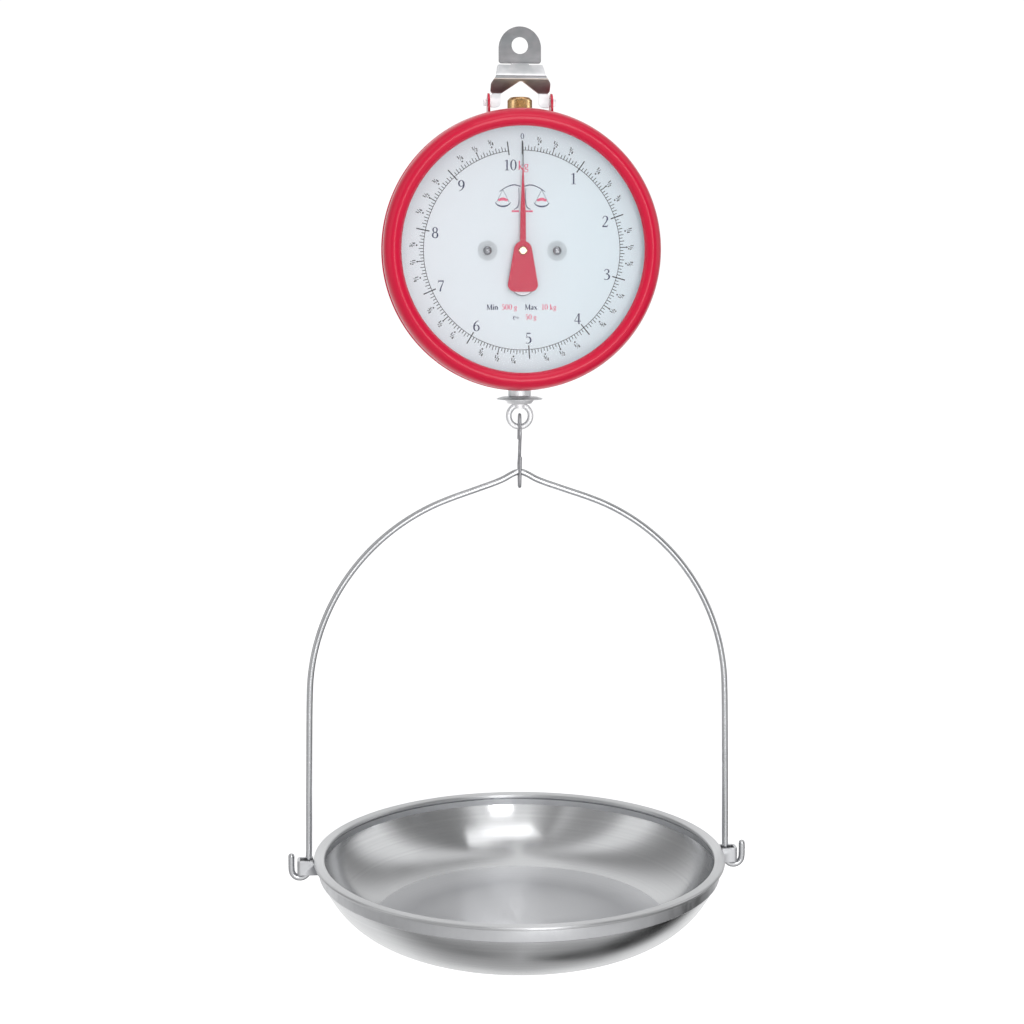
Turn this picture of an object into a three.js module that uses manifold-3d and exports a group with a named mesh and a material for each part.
// Hanging dial scale with a lift-out pan, in millimetres, +Z up.
// Origin: centre of the hanging hole. The dial faces -Y and the load hangs on the Z axis.
import * as THREE from "three";
import { mergeVertices } from "three/addons/utils/BufferGeometryUtils.js";
import Module from "manifold-3d";

const wasm = await Module();
wasm.setup();

// ---------- driving dimensions ----------
const GAP = 0.3; // clearance between pieces that touch

// hanger: one bent strip of 2 mm sheet
const SHEET = 2;
const TAB_RADIUS = 15.3;
const TAB_CENTRE_Z = -2;
const HANG_HOLE_RADIUS = 6;
const TAB_BOTTOM_Z = -12.6;
const NECK_HALF = 6.2;
const SHELF_TOP_Z = -13.8;
const RIDGE_Y = -11;
const RIDGE_Z = -23;
const LEG_TOP_Z = -33.6;
const LEG_INNER_X = 13.8;
const LEG_OUTER_X = 21.2;
const LEG_BOTTOM_Z = -43.8;
const PIVOT_Z = -40.1; // axis of the two trunnion tabs
const TRUNNION_HALF = 2.5;
const TRUNNION_END_X = 26.4;

// housing: a drawn cup closed by a bezel, its axis along Y
const DIAL_Z = -146.5;
const CASE_RADIUS = 97;
const CASE_WALL = 1.2;
const CASE_FRONT_Y = -24;
const CASE_BACK_Y = 26;
const CASE_CORNER = 9;
const BEAD_RADIUS = 101.2;
const BEAD_Y = -11;
const BEZEL_RADIUS = 100.4;
const WINDOW_RADIUS = 87.2;
const BEZEL_CREST_Y = -36;
const GLASS_RADIUS = 91.2;
const GLASS_BACK_Y = -27.4;
const GLASS_THICK = 2;
const DIAL_RADIUS = 95.2;
const DIAL_FRONT_Y = -19;
const DIAL_THICK = 1;
const DIAL_SCREW_X = 25.2;
const SPINDLE_HOLE_RADIUS = 4.3;
const SCREW_HOLE_RADIUS = 1.9;
const WASHER_RADIUS = 7.2;
const WASHER_THICK = 1;
const RING_OUTER_RADIUS = 95.2; // spacer between dial and glass
const RING_INNER_RADIUS = 90;
const EAR_INNER_X = 22;
const EAR_THICK = 1.6;
const EAR_HALF = 7;
const EAR_TOP_Z = -33.7;

// movement, held between two plates
const PLATE_HALF_X = 44;
const PLATE_HALF_Z = 75;
const PLATE_THICK = 2;
const FRONT_PLATE_Y = -17.6; // its front face
const BACK_PLATE_Y = 22.5; // its front face
const POST_X = 39;
const POST_Z = 68;
const SPRING_X = 28;
const SPRING_RADIUS = 4.6;
const SPRING_WIRE = 0.8;
const SPRING_TURNS = 12;
const ANCHOR_Z = 60; // above the dial centre
const CROSSBAR_Z = -45; // below the dial centre, unloaded
const CROSSBAR_HALF = 33;
const CROSSBAR_HALF_Y = 5;
const MODULE = 0.8;
const PINION_TEETH = 16;
const PITCH_RADIUS = MODULE * PINION_TEETH / 2;
const RACK_TEETH = 37;
const STEM_RADIUS = 3;

// zero knob
const KNOB_RADIUS = 8.9;
const KNOB_BOTTOM = 100.3; // above the dial centre
const KNOB_TOP = 110;

// load eye and hook
const GUARD_RADIUS = 17;
const EYE_Z = -266.9;
const EYE_MEAN_RADIUS = 8.1;
const EYE_SECTION = 2.2;
const HOOK_WIRE = 1.2;
const HOOK_BEND = 2.2; // centreline radius of both bends
const HOOK_FLARE = 11.5 * Math.PI / 180;
const HOOK_TOP_Z = -266.0; // centreline
const HOOK_BOTTOM_Z = -319.6; // centreline

// bail
const BAIL_WIRE = 2.4;
const BAIL_APEX_Z = -308.4;
const BAIL_ARC_RADIUS = 160;
const BAIL_ARC_X = -2.4;
const BAIL_ARC_Z = -478.6;
const BAIL_ARC_TOP = 70.5 * Math.PI / 180;
const BAIL_ARC_END = 1.3 * Math.PI / 180;
const BAIL_LEG_X = 160.6;
const BAIL_FOOT_Z = -609.85; // where the feet start to turn
const BAIL_FOOT_RADIUS = 6.35;
const BAIL_TIP_Z = -597;

// pan and the hoop that carries it
const RIM_RADIUS = 156.7;
const RIM_Z = -601;
const PAN_SHEET = 1;
const PAN_MOUTH_RADIUS = 149.6; // outside of the wall under the flange
const PAN_WALL_BREAK_Z = -616.9;
const PAN_WALL_BREAK_RADIUS = 148.7;
const PAN_BOTTOM_Z = -658.4;
const PAN_CORNER = 70;
const PAN_BASE_RADIUS = 85.5;
const HOOP_INNER = 150.6;
const HOOP_OUTER = 152.6;
const HOOP_TOP_Z = -602.5;
const HOOP_BOTTOM_Z = -613.4;
const LUG_END_X = 168.9;
const LUG_HALF_Y = 5.8;
const LUG_STRIP = 2.2;
const LUG_TOP_Z = -601.8;
const LUG_BOTTOM_Z = -613;

// ---------- materials ----------
function finish(colour, roughness, metalness, opacity = 1) {
  return new THREE.MeshStandardMaterial({
    color: colour, roughness, metalness, opacity, transparent: opacity < 1,
  });
}
const RED = finish(0xd9294a, 0.25, 0.1);
const ZINC = finish(0x9da1a6, 0.35, 0.9);
const BRASS = finish(0xb08a46, 0.3, 1);
const STEEL = finish(0x8c8f92, 0.4, 1);
const DARK_STEEL = finish(0x4a4a4c, 0.4, 1);
const STAINLESS = finish(0xc4c6c8, 0.2, 1);
const WHITE = finish(0xe6edf2, 0.5, 0);
const GLASS = finish(0xffffff, 0.02, 0, 0.2);
const CLEAR = finish(0xe8eef0, 0.1, 0, 0.5);
const BLACK = finish(0x1a1a1c, 0.5, 0);
const PLASTIC = finish(0xe2e2de, 0.5, 0);

// ---------- shape helpers ----------
const scale = new THREE.Group();

function outward(geometry) {
  const bare = geometry.index ? geometry.toNonIndexed() : geometry;
  const at = bare.getAttribute("position");
  const corner = [new THREE.Vector3(), new THREE.Vector3(), new THREE.Vector3()];
  let volume = 0;
  for (let i = 0; i < at.count; i += 3) {
    corner.forEach((c, k) => c.fromBufferAttribute(at, i + k));
    volume += corner[0].dot(corner[1].clone().cross(corner[2]));
  }
  const clean = new THREE.BufferGeometry();
  clean.setAttribute("position", new THREE.Float32BufferAttribute(at.array.slice(), 3));
  const merged = mergeVertices(clean, 1e-4);
  const index = merged.index.array;
  const kept = [];
  for (let i = 0; i < index.length; i += 3) {
    const [a, b, c] = [index[i], index[i + 1], index[i + 2]];
    if (a === b || b === c || c === a) continue;
    kept.push(a, volume < 0 ? c : b, volume < 0 ? b : c);
  }
  merged.setIndex(kept);
  return merged;
}

function toSolid(geometry) {
  const clean = outward(geometry);
  return new wasm.Manifold(new wasm.Mesh({
    numProp: 3,
    vertProperties: Float32Array.from(clean.getAttribute("position").array),
    triVerts: Uint32Array.from(clean.index.array),
  }));
}

function toGeometry(solid) {
  const mesh = solid.getMesh();
  const geometry = new THREE.BufferGeometry();
  geometry.setAttribute("position", new THREE.Float32BufferAttribute(mesh.vertProperties, 3));
  geometry.setIndex(Array.from(mesh.triVerts));
  return geometry;
}

function cut(geometry, ...cutters) {
  return toGeometry(cutters.reduce((solid, c) => solid.subtract(toSolid(c)), toSolid(geometry)));
}

function join(...geometries) {
  return toGeometry(geometries.map(toSolid).reduce((a, b) => a.add(b)));
}

function piece(name, geometry, material) {
  const ready = outward(geometry);
  ready.computeVertexNormals();
  const mesh = new THREE.Mesh(ready, material);
  mesh.name = name;
  scale.add(mesh);
}

function outline(points) {
  return new THREE.Shape(points.map(([x, y]) => new THREE.Vector2(x, y)));
}

function mirrored(half) {
  const other = half.filter(([x]) => x > 0).map(([x, y]) => [-x, y]).reverse();
  return [...half, ...other];
}

function circle(radius, x = 0, y = 0, points = 24) {
  const ring = [];
  for (let i = 0; i < points; i += 1) {
    const turn = 2 * Math.PI * i / points;
    ring.push([x + radius * Math.cos(turn), y + radius * Math.sin(turn)]);
  }
  return ring;
}

function arc(x, y, radius, from, to, steps) {
  const points = [];
  for (let i = 0; i <= steps; i += 1) {
    const turn = from + (to - from) * i / steps;
    points.push([x + radius * Math.cos(turn), y + radius * Math.sin(turn)]);
  }
  return points;
}

// A plate drawn in X and Z, from its front face at y to y + thickness.
function plateY(points, y, thickness, holes = []) {
  const shape = outline(points);
  shape.holes = holes.map(outline);
  const geometry = new THREE.ExtrudeGeometry(shape, { depth: thickness, bevelEnabled: false });
  return geometry.rotateX(Math.PI / 2).translate(0, y + thickness, 0);
}

// A plate drawn in X and Y, from z up to z + thickness.
function plateZ(points, z, thickness, holes = []) {
  const shape = outline(points);
  shape.holes = holes.map(outline);
  const geometry = new THREE.ExtrudeGeometry(shape, { depth: thickness, bevelEnabled: false });
  return geometry.translate(0, 0, z);
}

// A plate drawn in Y and Z, from x to x + thickness.
function plateX(points, x, thickness, holes = []) {
  const shape = outline(points);
  shape.holes = holes.map(outline);
  const geometry = new THREE.ExtrudeGeometry(shape, { depth: thickness, bevelEnabled: false });
  return geometry.rotateX(Math.PI / 2).rotateZ(Math.PI / 2).translate(x, 0, 0);
}

// A turned piece about the Y axis through the dial centre, from (radius, y) points.
function turnedY(profile, segments = 40) {
  const points = profile.map(([r, y]) => new THREE.Vector2(r, y));
  return new THREE.LatheGeometry(points, segments).translate(0, 0, DIAL_Z);
}

// A turned piece about the Z axis, from (radius, z) points.
function turnedZ(profile, segments = 40) {
  const points = profile.map(([r, z]) => new THREE.Vector2(r, z));
  return new THREE.LatheGeometry(points, segments).rotateX(Math.PI / 2);
}

function loop(profile) {
  return [...profile, profile[0]];
}

function rodY(radius, from, to, x = 0, z = DIAL_Z, sides = 16) {
  const geometry = new THREE.CylinderGeometry(radius, radius, to - from, sides);
  return geometry.translate(x, (from + to) / 2, z);
}

function rodZ(radius, from, to, x = 0, y = 0, sides = 16) {
  const geometry = new THREE.CylinderGeometry(radius, radius, to - from, sides);
  return geometry.rotateX(Math.PI / 2).translate(x, y, (from + to) / 2);
}

function block(x, y, z) {
  const geometry = new THREE.BoxGeometry(x[1] - x[0], y[1] - y[0], z[1] - z[0]);
  return geometry.translate((x[0] + x[1]) / 2, (y[0] + y[1]) / 2, (z[0] + z[1]) / 2);
}

// A wire's rings fall on its listed points instead of at equal steps.
class WirePath extends THREE.CatmullRomCurve3 {
  getPointAt(u, target) {
    return this.getPoint(u, target);
  }

  getTangentAt(u, target) {
    return this.getTangent(u, target);
  }
}

function wire(points, radius, sides) {
  const path = new WirePath(points.map((p) => new THREE.Vector3(...p)), false, "centripetal");
  return new THREE.ExtrudeGeometry(outline(circle(radius, 0, 0, sides)), {
    steps: points.length - 1, extrudePath: path, bevelEnabled: false,
  });
}

// ---------- hanger ----------
function ribbon(centreline, thickness) {
  const sides = [[], []];
  centreline.forEach(([y, z], i) => {
    const [before, after] = [centreline[Math.max(i - 1, 0)], centreline[i + 1] ?? [y, z]];
    const into = new THREE.Vector2(y - before[0], z - before[1]).normalize();
    const out = new THREE.Vector2(after[0] - y, after[1] - z).normalize();
    const along = into.clone().add(out).normalize();
    const bend = Math.max(into.length() && out.length() ? along.dot(into) : 1, 0.5);
    const half = thickness / 2 / bend;
    sides[0].push([y - along.y * half, z + along.x * half]);
    sides[1].push([y + along.y * half, z - along.x * half]);
  });
  return [...sides[0], ...sides[1].reverse()];
}

function hangerBracket() {
  const side = ribbon([
    [0, 16], [0, TAB_BOTTOM_Z], [RIDGE_Y, RIDGE_Z], [0, LEG_TOP_Z], [0, -46],
  ], SHEET);
  const half = [
    ...arc(0, TAB_CENTRE_Z, TAB_RADIUS, Math.PI / 2, 0, 10),
    [TAB_RADIUS, TAB_BOTTOM_Z + 1.5],
    [TAB_RADIUS - 1.5, TAB_BOTTOM_Z],
    [NECK_HALF, TAB_BOTTOM_Z],
    [NECK_HALF, SHELF_TOP_Z],
    [15.2, SHELF_TOP_Z],
    [16, SHELF_TOP_Z - 0.8],
    [18.2, RIDGE_Z],
    [20.6, RIDGE_Z - 3.4],
    [21.5, -28.8],
    [21.5, -31.4],
    [20.4, LEG_TOP_Z],
    [LEG_OUTER_X, LEG_TOP_Z - 0.8],
    [LEG_OUTER_X, PIVOT_Z + TRUNNION_HALF],
    [TRUNNION_END_X, PIVOT_Z + TRUNNION_HALF],
    [TRUNNION_END_X, PIVOT_Z - TRUNNION_HALF],
    [LEG_OUTER_X, PIVOT_Z - TRUNNION_HALF],
    [LEG_OUTER_X, LEG_BOTTOM_Z],
    [LEG_INNER_X + 3, LEG_BOTTOM_Z],
    [LEG_INNER_X + 0.9, LEG_BOTTOM_Z + 0.9],
    [LEG_INNER_X, LEG_BOTTOM_Z + 3],
    [LEG_INNER_X, LEG_TOP_Z],
    [1.2, -26.2],
  ];
  const front = plateY(mirrored(half), -30, 60);
  const strip = plateX(side, -30, 60);
  const sheet = toSolid(front).intersect(toSolid(strip));
  const hole = toSolid(rodY(HANG_HOLE_RADIUS, -5, 5, 0, 0, 32));
  return toGeometry(sheet.subtract(hole));
}
piece("hanger_bracket", hangerBracket(), ZINC);

// ---------- housing shells ----------
const holeZ = (radius, z) => rodZ(radius, z - 8, z + 8);
const CASE_SCREWS = [[-30, 52], [30, 52], [-30, -52], [30, -52]];

function rearCasing() {
  const inner = CASE_RADIUS - CASE_WALL;
  const cup = turnedY([
    [0, CASE_BACK_Y],
    ...arc(CASE_RADIUS - CASE_CORNER, CASE_BACK_Y - CASE_CORNER, CASE_CORNER,
      Math.PI / 2, 0, 4),
    [CASE_RADIUS, BEAD_Y + 2],
    [BEAD_RADIUS - 0.7, BEAD_Y + 1.4],
    [BEAD_RADIUS, BEAD_Y + 0.7],
    [BEAD_RADIUS, BEAD_Y - 0.7],
    [BEAD_RADIUS - 0.7, BEAD_Y - 1.4],
    [CASE_RADIUS, BEAD_Y - 1.4],
    [CASE_RADIUS, CASE_FRONT_Y],
    [inner, CASE_FRONT_Y],
    ...arc(CASE_RADIUS - CASE_CORNER, CASE_BACK_Y - CASE_CORNER, CASE_CORNER - CASE_WALL,
      0, Math.PI / 2, 4),
    [0, CASE_BACK_Y - CASE_WALL],
  ]);
  const screwHoles = CASE_SCREWS.map(([x, z]) => rodY(2, 20, 30, x, DIAL_Z + z, 12));
  return cut(cup, holeZ(6.5, DIAL_Z + CASE_RADIUS), holeZ(6.5, DIAL_Z - CASE_RADIUS),
    ...screwHoles);
}
piece("rear_casing", rearCasing(), RED);

piece("front_bezel", turnedY(loop([
  [BEZEL_RADIUS - 1.1, BEAD_Y - 2],
  [BEZEL_RADIUS, -20.5],
  [BEZEL_RADIUS - 0.7, -27.6],
  [BEZEL_RADIUS - 3.4, -33.4],
  [BEZEL_RADIUS - 7.4, BEZEL_CREST_Y],
  [BEZEL_RADIUS - 11, -34.4],
  [WINDOW_RADIUS, GLASS_BACK_Y - GLASS_THICK - GAP],
  [WINDOW_RADIUS + 1.2, GLASS_BACK_Y - GLASS_THICK - GAP],
  [BEZEL_RADIUS - 10, -33.2],
  [BEZEL_RADIUS - 7.3, -34.6],
  [BEZEL_RADIUS - 4.4, -32.5],
  [BEZEL_RADIUS - 2, -27.2],
  [BEZEL_RADIUS - 1.3, -20.4],
  [BEZEL_RADIUS - 2.4, BEAD_Y - 2],
])), RED);

piece("dial_glass", turnedY([
  [0, GLASS_BACK_Y],
  [GLASS_RADIUS, GLASS_BACK_Y],
  [GLASS_RADIUS, GLASS_BACK_Y - GLASS_THICK],
  [0, GLASS_BACK_Y - GLASS_THICK],
]), GLASS);

piece("glass_ring", turnedY(loop([
  [RING_INNER_RADIUS + 1, DIAL_FRONT_Y - GAP],
  [RING_OUTER_RADIUS, DIAL_FRONT_Y - GAP],
  [RING_OUTER_RADIUS, GLASS_BACK_Y + GAP],
  [RING_INNER_RADIUS, GLASS_BACK_Y + GAP],
  [RING_INNER_RADIUS, GLASS_BACK_Y + 2],
])), PLASTIC);

const dialHoles = [
  circle(SPINDLE_HOLE_RADIUS, 0, DIAL_Z, 20),
  circle(SCREW_HOLE_RADIUS, -DIAL_SCREW_X, DIAL_Z, 16),
  circle(SCREW_HOLE_RADIUS, DIAL_SCREW_X, DIAL_Z, 16),
];
piece("dial_plate", plateY(circle(DIAL_RADIUS, 0, DIAL_Z, 48), DIAL_FRONT_Y, DIAL_THICK,
  dialHoles), WHITE);

// ears welded to the crown of the cup; the trunnion tabs turn in their holes
function ear(side) {
  const foot = DIAL_Z + Math.sqrt(CASE_RADIUS ** 2 - EAR_INNER_X ** 2) + GAP;
  const shape = [
    [-EAR_HALF - 1.5, foot],
    [EAR_HALF + 1.5, foot],
    ...arc(0, EAR_TOP_Z - EAR_HALF, EAR_HALF, 0, Math.PI, 12),
  ];
  const x = side > 0 ? EAR_INNER_X : -EAR_INNER_X - EAR_THICK;
  return plateX(shape, x, EAR_THICK, [circle(TRUNNION_HALF + 0.6, 0, PIVOT_Z, 16)]);
}
piece("ear_left", ear(-1), RED);
piece("ear_right", ear(1), RED);

// ---------- movement frame ----------
function corners(halfX, halfZ, chamfer) {
  const at = [];
  for (const [sx, sz] of [[1, 1], [-1, 1], [-1, -1], [1, -1]]) {
    const a = [sx * halfX, DIAL_Z + sz * (halfZ - chamfer)];
    const b = [sx * (halfX - chamfer), DIAL_Z + sz * halfZ];
    at.push(...(sx * sz > 0 ? [a, b] : [b, a]));
  }
  return at;
}
const postPlaces = [[-1, 1], [1, 1], [-1, -1], [1, -1]].map(([x, z]) => [x * POST_X, z * POST_Z]);
const postHoles = postPlaces.map(([x, z]) => circle(SCREW_HOLE_RADIUS, x, DIAL_Z + z, 12));
const movementPlate = (y, holes) => plateY(corners(PLATE_HALF_X, PLATE_HALF_Z, 6), y,
  PLATE_THICK, [...holes, ...postHoles]);
piece("front_plate", movementPlate(FRONT_PLATE_Y, dialHoles), STEEL);
piece("back_plate", movementPlate(BACK_PLATE_Y, [
  circle(SPINDLE_HOLE_RADIUS, 0, DIAL_Z, 20),
  ...CASE_SCREWS.map(([x, z]) => circle(SCREW_HOLE_RADIUS, x, DIAL_Z + z, 12)),
]), STEEL);
postPlaces.forEach(([x, z], i) => {
  const shoulder = rodY(3, FRONT_PLATE_Y + PLATE_THICK + GAP, BACK_PLATE_Y - GAP, x,
    DIAL_Z + z, 12);
  const spigot = rodY(1.6, FRONT_PLATE_Y, BACK_PLATE_Y + PLATE_THICK, x, DIAL_Z + z, 12);
  piece(`frame_post_${i + 1}`, join(shoulder, spigot), STEEL);
});
CASE_SCREWS.forEach(([x, z], i) => {
  const head = rodY(3.6, CASE_BACK_Y + GAP, CASE_BACK_Y + 2.4, x, DIAL_Z + z);
  const shank = rodY(1.6, BACK_PLATE_Y - 1, CASE_BACK_Y + 1, x, DIAL_Z + z);
  piece(`casing_screw_${i + 1}`, join(head, shank), STEEL);
});
for (const [name, side] of [["left", -1], ["right", 1]]) {
  const x = side * DIAL_SCREW_X;
  const cupFront = DIAL_FRONT_Y - GAP - WASHER_THICK;
  const cup = rodY(WASHER_RADIUS, cupFront, DIAL_FRONT_Y - GAP, x, DIAL_Z, 24);
  const bore = rodY(SCREW_HOLE_RADIUS, DIAL_FRONT_Y - 6, DIAL_FRONT_Y + 4, x, DIAL_Z, 16);
  piece(`dial_washer_${name}`, cut(cup, bore), CLEAR);
  const head = rodY(3.05, cupFront - GAP - 1.3, cupFront - GAP, x, DIAL_Z, 20);
  const shank = rodY(1.5, DIAL_FRONT_Y - 2, FRONT_PLATE_Y + 3, x, DIAL_Z, 12);
  piece(`dial_screw_${name}`, join(head, shank), STEEL);
}
for (const [name, y] of [["front", FRONT_PLATE_Y], ["rear", BACK_PLATE_Y - 1.8]]) {
  piece(`${name}_bearing`, turnedY(loop([[1.8, y], [4, y], [4, y + 3.6], [1.8, y + 3.6]]), 20),
    BRASS);
}

// ---------- collars in the cup's crown and foot ----------
function flangedBush(face, direction, flangeRadius, length) {
  const at = (offset) => DIAL_Z + direction * (face + offset);
  return turnedZ(loop([
    [3.5, at(-3)],
    [6, at(-3)],
    [6, at(GAP)],
    [flangeRadius, at(GAP)],
    [flangeRadius, at(length)],
    [3.5, at(length)],
  ]), 24);
}
piece("knob_bush", flangedBush(CASE_RADIUS, 1, 8, 2.6), STEEL);
piece("bottom_collar", flangedBush(CASE_RADIUS, -1, 8.4, 8.8), ZINC);

// ---------- zero knob and spring anchor ----------
function zeroKnob() {
  const [low, top] = [DIAL_Z + KNOB_BOTTOM, DIAL_Z + KNOB_TOP];
  return turnedZ([
    [0, DIAL_Z + ANCHOR_Z - 8],
    [STEM_RADIUS, DIAL_Z + ANCHOR_Z - 8],
    [STEM_RADIUS, low],
    [KNOB_RADIUS, low],
    [KNOB_RADIUS, top - 1.4],
    [KNOB_RADIUS - 1.4, top],
    [0, top],
  ], 32);
}
piece("zero_knob", zeroKnob(), BRASS);

function crossbar(z) {
  const bar = block([-CROSSBAR_HALF, CROSSBAR_HALF], [-CROSSBAR_HALF_Y, CROSSBAR_HALF_Y],
    [DIAL_Z + z - 3, DIAL_Z + z + 3]);
  const through = (radius, x) => rodZ(radius, DIAL_Z + z - 6, DIAL_Z + z + 6, x, 0, 16);
  return cut(bar, through(STEM_RADIUS + GAP, 0), through(SPRING_WIRE + 0.4, -SPRING_X),
    through(SPRING_WIRE + 0.4, SPRING_X));
}
piece("spring_anchor", crossbar(ANCHOR_Z), STEEL);
piece("lower_crossbar", crossbar(CROSSBAR_Z), STEEL);

// coil with straight ends that pass through the two crossbars
function spring(x) {
  const [low, high] = [DIAL_Z + CROSSBAR_Z + 7, DIAL_Z + ANCHOR_Z - 7];
  const perTurn = 7;
  const count = SPRING_TURNS * perTurn;
  const points = [[x, 0, DIAL_Z + CROSSBAR_Z - 4], [x, 0, low - 2.5]];
  for (let i = 0; i <= count; i += 1) {
    const turn = 2 * Math.PI * i / perTurn;
    points.push([x + SPRING_RADIUS * Math.cos(turn), SPRING_RADIUS * Math.sin(turn),
      low + (high - low) * i / count]);
  }
  points.push([x, 0, high + 2.5], [x, 0, DIAL_Z + ANCHOR_Z + 4]);
  return wire(points, SPRING_WIRE, 4);
}
piece("spring_left", spring(-SPRING_X), STEEL);
piece("spring_right", spring(SPRING_X), STEEL);

// ---------- rack, pinion and pointer ----------
const PITCH = Math.PI * MODULE;
const RACK_FRONT_Y = -CROSSBAR_HALF_Y - GAP - 4.5;
const GEAR_WIDTH = 4.5;

function rack() {
  const [tip, root, back] = [PITCH_RADIUS - 0.55, PITCH_RADIUS + 1.1, PITCH_RADIUS + 5];
  const top = DIAL_Z + 45;
  const bottom = DIAL_Z + CROSSBAR_Z - 3;
  const points = [[back, top], [root, top]];
  const first = Math.floor(44 / PITCH);
  for (let i = first; i > first - RACK_TEETH + 2; i -= 1) {
    const z = DIAL_Z + i * PITCH;
    points.push([root, z + 0.6], [tip, z + 0.25], [tip, z - 0.25], [root, z - 0.6]);
  }
  points.push([root, bottom], [back, bottom]);
  return plateY(points, RACK_FRONT_Y, GEAR_WIDTH);
}
piece("rack", rack(), BRASS);

function pinion() {
  const points = [];
  for (let i = 0; i < PINION_TEETH; i += 1) {
    const centre = 2 * Math.PI * (i + 0.5) / PINION_TEETH;
    for (const [radius, turn] of [
      [PITCH_RADIUS - 1.1, -0.115], [PITCH_RADIUS + 0.6, -0.05],
      [PITCH_RADIUS + 0.6, 0.05], [PITCH_RADIUS - 1.1, 0.115],
    ]) {
      points.push([radius * Math.cos(centre + turn), DIAL_Z + radius * Math.sin(centre + turn)]);
    }
  }
  return plateY(points, RACK_FRONT_Y, GEAR_WIDTH, [circle(1.8, 0, DIAL_Z, 16)]);
}
piece("pinion", pinion(), BRASS);

const HUB_FRONT_Y = -25.9;
const POINTER_FRONT_Y = -24.6;
const HEAD_RADIUS = 6.5; // of the pointer's head round the spindle
const TAIL_CORNER = 5;
piece("pointer_spindle", rodY(1.5, HUB_FRONT_Y + 1.8, 24), STEEL);
piece("pointer_hub", cut(
  turnedY(loop([
    [0, HUB_FRONT_Y], [2.5, HUB_FRONT_Y], [2.85, HUB_FRONT_Y + 0.4], [2.85, -21.6],
    [1.8, -21.6], [1.8, HUB_FRONT_Y + 1.5], [0, HUB_FRONT_Y + 1.5],
  ]).slice(0, -1), 20),
  block([-3, 3], [HUB_FRONT_Y - 1, HUB_FRONT_Y + 0.6], [DIAL_Z - 0.35, DIAL_Z + 0.35]),
), BRASS);

function pointerPlate() {
  const half = [
    [0.35, 58.6],
    [1.9, 26.6],
    [2.05, 8.8],
    ...arc(0, 0.3, HEAD_RADIUS, 1.2, 0.17, 5),
    ...arc(10.9 - TAIL_CORNER, -24.2, TAIL_CORNER, 0, -1.45, 5),
    [0, -29.4],
  ];
  return plateY(mirrored(half).map(([x, z]) => [x, DIAL_Z + z]), POINTER_FRONT_Y, 1,
    [circle(3.1, 0, DIAL_Z, 20)]);
}
piece("pointer", pointerPlate(), RED);
piece("pointer_tip", block([-0.35, 0.35], [POINTER_FRONT_Y + 0.15, POINTER_FRONT_Y + 0.85],
  [DIAL_Z + 58.9, DIAL_Z + 76.3]), BLACK);
piece("counterweight", plateY([
  ...arc(0, DIAL_Z - 23.3, 9, Math.PI + 0.2, 2 * Math.PI - 0.2, 14),
  [4.2, DIAL_Z - 5],
  [-4.2, DIAL_Z - 5],
], POINTER_FRONT_Y + 1 + GAP, 1), DARK_STEEL);

// ---------- load stem, guard and eye ----------
const STEM_TOP = DIAL_Z + CROSSBAR_Z + 8;
const CONE_TOP = DIAL_Z - 107.3;
piece("load_stem", rodZ(STEM_RADIUS, CONE_TOP - 2, STEM_TOP), STEEL);
piece("stem_nut", cut(
  rodZ(5.6, DIAL_Z + CROSSBAR_Z + 3 + GAP, DIAL_Z + CROSSBAR_Z + 7, 0, 0, 6),
  rodZ(STEM_RADIUS + GAP, STEM_TOP - 12, STEM_TOP + 4),
), STEEL);
piece("drip_guard", turnedZ(loop([
  [STEM_RADIUS + GAP, CONE_TOP + 0.3],
  [12, CONE_TOP + 0.3],
  [GUARD_RADIUS, CONE_TOP - 0.9],
  [GUARD_RADIUS, CONE_TOP - 0.1],
  [13, CONE_TOP + 1.1],
  [STEM_RADIUS + GAP, CONE_TOP + 1.1],
]), 32), ZINC);

function loadEye() {
  const cone = turnedZ([
    [0, CONE_TOP - 6.5],
    [4.3, CONE_TOP - 6.5],
    [4.3, CONE_TOP - 3.9],
    [8.9, CONE_TOP - 3.9],
    [11.6, CONE_TOP],
    [STEM_RADIUS + GAP, CONE_TOP],
    [STEM_RADIUS + GAP, CONE_TOP - 2.4],
    [0, CONE_TOP - 2.4],
  ], 32);
  const ring = new THREE.TorusGeometry(EYE_MEAN_RADIUS, EYE_SECTION, 8, 20);
  return join(cone, ring.rotateX(Math.PI / 2).translate(0, 0, EYE_Z));
}
piece("load_eye", loadEye(), ZINC);

// ---------- hook: one wire in the YZ plane, two narrow tapered bends ----------
function hook() {
  const bend = (centreZ, up) => arc(0, centreZ, HOOK_BEND, up ? HOOK_FLARE : -HOOK_FLARE,
    up ? Math.PI - HOOK_FLARE : HOOK_FLARE - Math.PI, 7);
  const spread = (h) => (HOOK_BEND + h * Math.sin(HOOK_FLARE)) / Math.cos(HOOK_FLARE);
  const topCentre = HOOK_TOP_Z - HOOK_BEND;
  const lowCentre = HOOK_BOTTOM_Z + HOOK_BEND;
  const path = [
    [spread(17), topCentre - 17],
    [spread(9), topCentre - 9],
    ...bend(topCentre, true),
    [-spread(8), topCentre - 8],
    [-spread(11), topCentre - 12],
    [-1.6, (topCentre + lowCentre) / 2 + 5],
    [1.6, (topCentre + lowCentre) / 2 - 5],
    [spread(14), lowCentre + 15],
    [spread(10), lowCentre + 10],
    ...bend(lowCentre, false),
    [-spread(10), lowCentre + 10],
    [-spread(21), lowCentre + 21],
  ];
  return wire(path.map(([y, z]) => [0, y, z]), HOOK_WIRE, 8);
}
piece("s_hook", hook(), DARK_STEEL);

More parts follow.
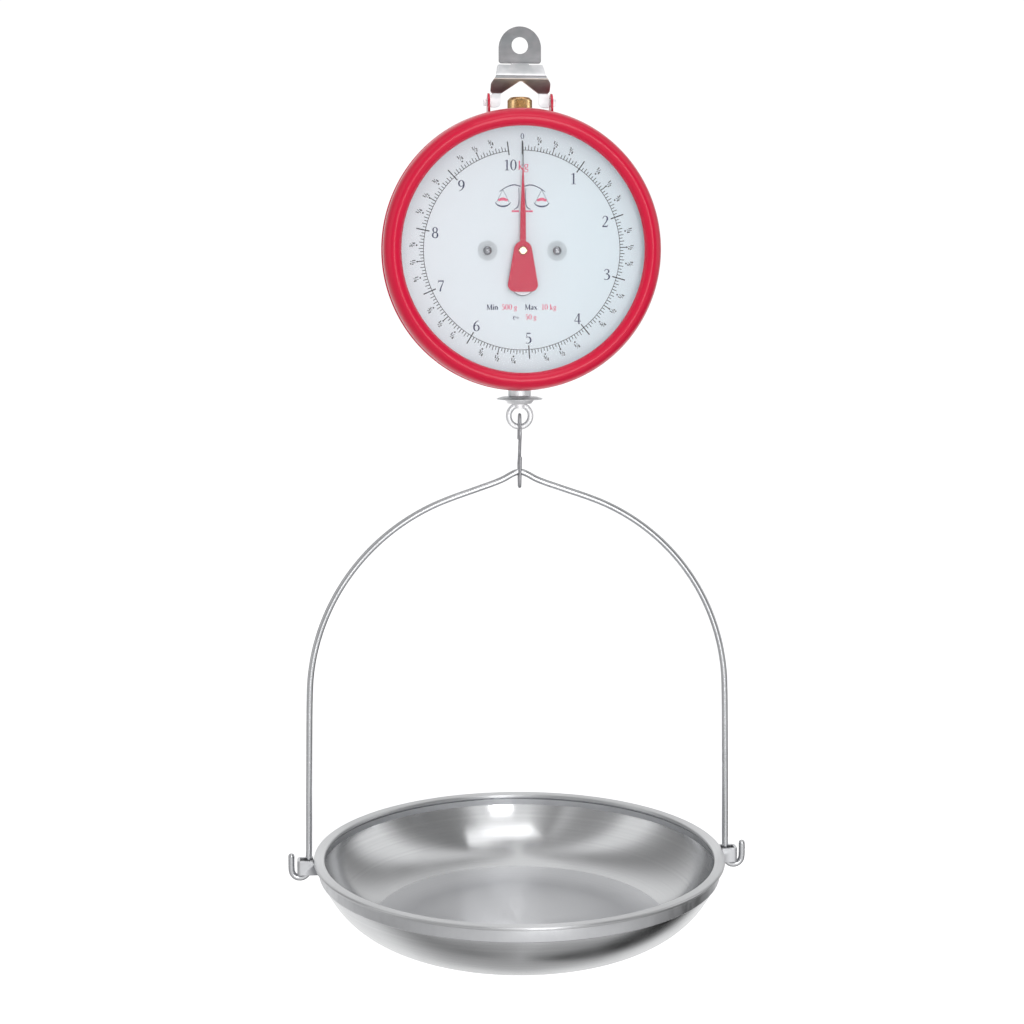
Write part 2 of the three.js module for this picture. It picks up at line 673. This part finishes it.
// ---------- bail ----------
function bail() {
  const shoulder = [17, -315.9];
  const half = [
    [0, BAIL_APEX_Z],
    [2.6, BAIL_APEX_Z - 0.5],
    [6, BAIL_APEX_Z - 2],
    [11.5, BAIL_APEX_Z - 5.1],
    shoulder,
    [34, -321.9],
    ...arc(BAIL_ARC_X, BAIL_ARC_Z, BAIL_ARC_RADIUS, BAIL_ARC_TOP, BAIL_ARC_END, 14),
    [159.1, -542],
    ...arc(BAIL_LEG_X + BAIL_FOOT_RADIUS, BAIL_FOOT_Z, BAIL_FOOT_RADIUS,
      Math.PI, 2 * Math.PI, 8),
    [BAIL_LEG_X + 2 * BAIL_FOOT_RADIUS, BAIL_TIP_Z],
  ];
  const left = half.slice(1).map(([x, z]) => [-x, z]).reverse();
  return wire([...left, ...half].map(([x, z]) => [x, 0, z]), BAIL_WIRE, 8);
}
piece("bail", bail(), STAINLESS);

// ---------- hoop with its two strap loops ----------
piece("cradle_hoop", turnedZ(loop([
  [HOOP_INNER, HOOP_BOTTOM_Z],
  [HOOP_OUTER, HOOP_BOTTOM_Z],
  [HOOP_OUTER, HOOP_TOP_Z],
  [HOOP_INNER, HOOP_TOP_Z],
]), 48), STAINLESS);

function lug(side) {
  const start = HOOP_OUTER + 0.5;
  const end = LUG_END_X - 2.6;
  const outer = [
    [start, -LUG_HALF_Y],
    ...arc(end, -LUG_HALF_Y + 2.6, 2.6, -Math.PI / 2, 0, 4),
    ...arc(end, LUG_HALF_Y - 2.6, 2.6, 0, Math.PI / 2, 4),
    [start, LUG_HALF_Y],
  ];
  const inside = LUG_HALF_Y - LUG_STRIP;
  const hole = [
    [start + LUG_STRIP, -inside],
    [LUG_END_X - LUG_STRIP, -inside],
    [LUG_END_X - LUG_STRIP, inside],
    [start + LUG_STRIP, inside],
  ];
  const loopSolid = plateZ(outer, LUG_BOTTOM_Z, LUG_TOP_Z - LUG_BOTTOM_Z, [hole]);
  const underRim = rodZ(RIM_RADIUS + 0.5, RIM_Z - 2.9, RIM_Z + 5, 0, 0, 96);
  const placed = cut(loopSolid, underRim);
  return side > 0 ? placed : placed.rotateZ(Math.PI);
}
piece("lug_left", lug(-1), STAINLESS);
piece("lug_right", lug(1), STAINLESS);

// ---------- pan ----------
function panProfile() {
  const cornerZ = PAN_BOTTOM_Z + PAN_CORNER;
  const start = Math.asin((PAN_WALL_BREAK_Z - cornerZ) / PAN_CORNER);
  const corner = (radius, from, to) => arc(PAN_BASE_RADIUS, cornerZ, radius, from, to, 6);
  const flangeInner = PAN_MOUTH_RADIUS - PAN_SHEET - 1.6;
  return [
    [0, PAN_BOTTOM_Z],
    ...corner(PAN_CORNER, -Math.PI / 2, start),
    [PAN_WALL_BREAK_RADIUS + 0.3, PAN_WALL_BREAK_Z + 3],
    [PAN_MOUTH_RADIUS, RIM_Z - 1.4],
    [RIM_RADIUS - 2.4, RIM_Z - 1.3],
    [RIM_RADIUS - 1.4, RIM_Z - 2.4],
    [RIM_RADIUS, RIM_Z - 1.4],
    [RIM_RADIUS - 0.7, RIM_Z],
    [flangeInner + 1.4, RIM_Z - 0.2],
    [flangeInner, RIM_Z - 1.4],
    [PAN_WALL_BREAK_RADIUS - PAN_SHEET - 0.2, PAN_WALL_BREAK_Z + 2],
    ...corner(PAN_CORNER - PAN_SHEET, start, -Math.PI / 2),
    [0, PAN_BOTTOM_Z + PAN_SHEET],
  ];
}
piece("pan", turnedZ(panProfile(), 48), STAINLESS);

export default scale;
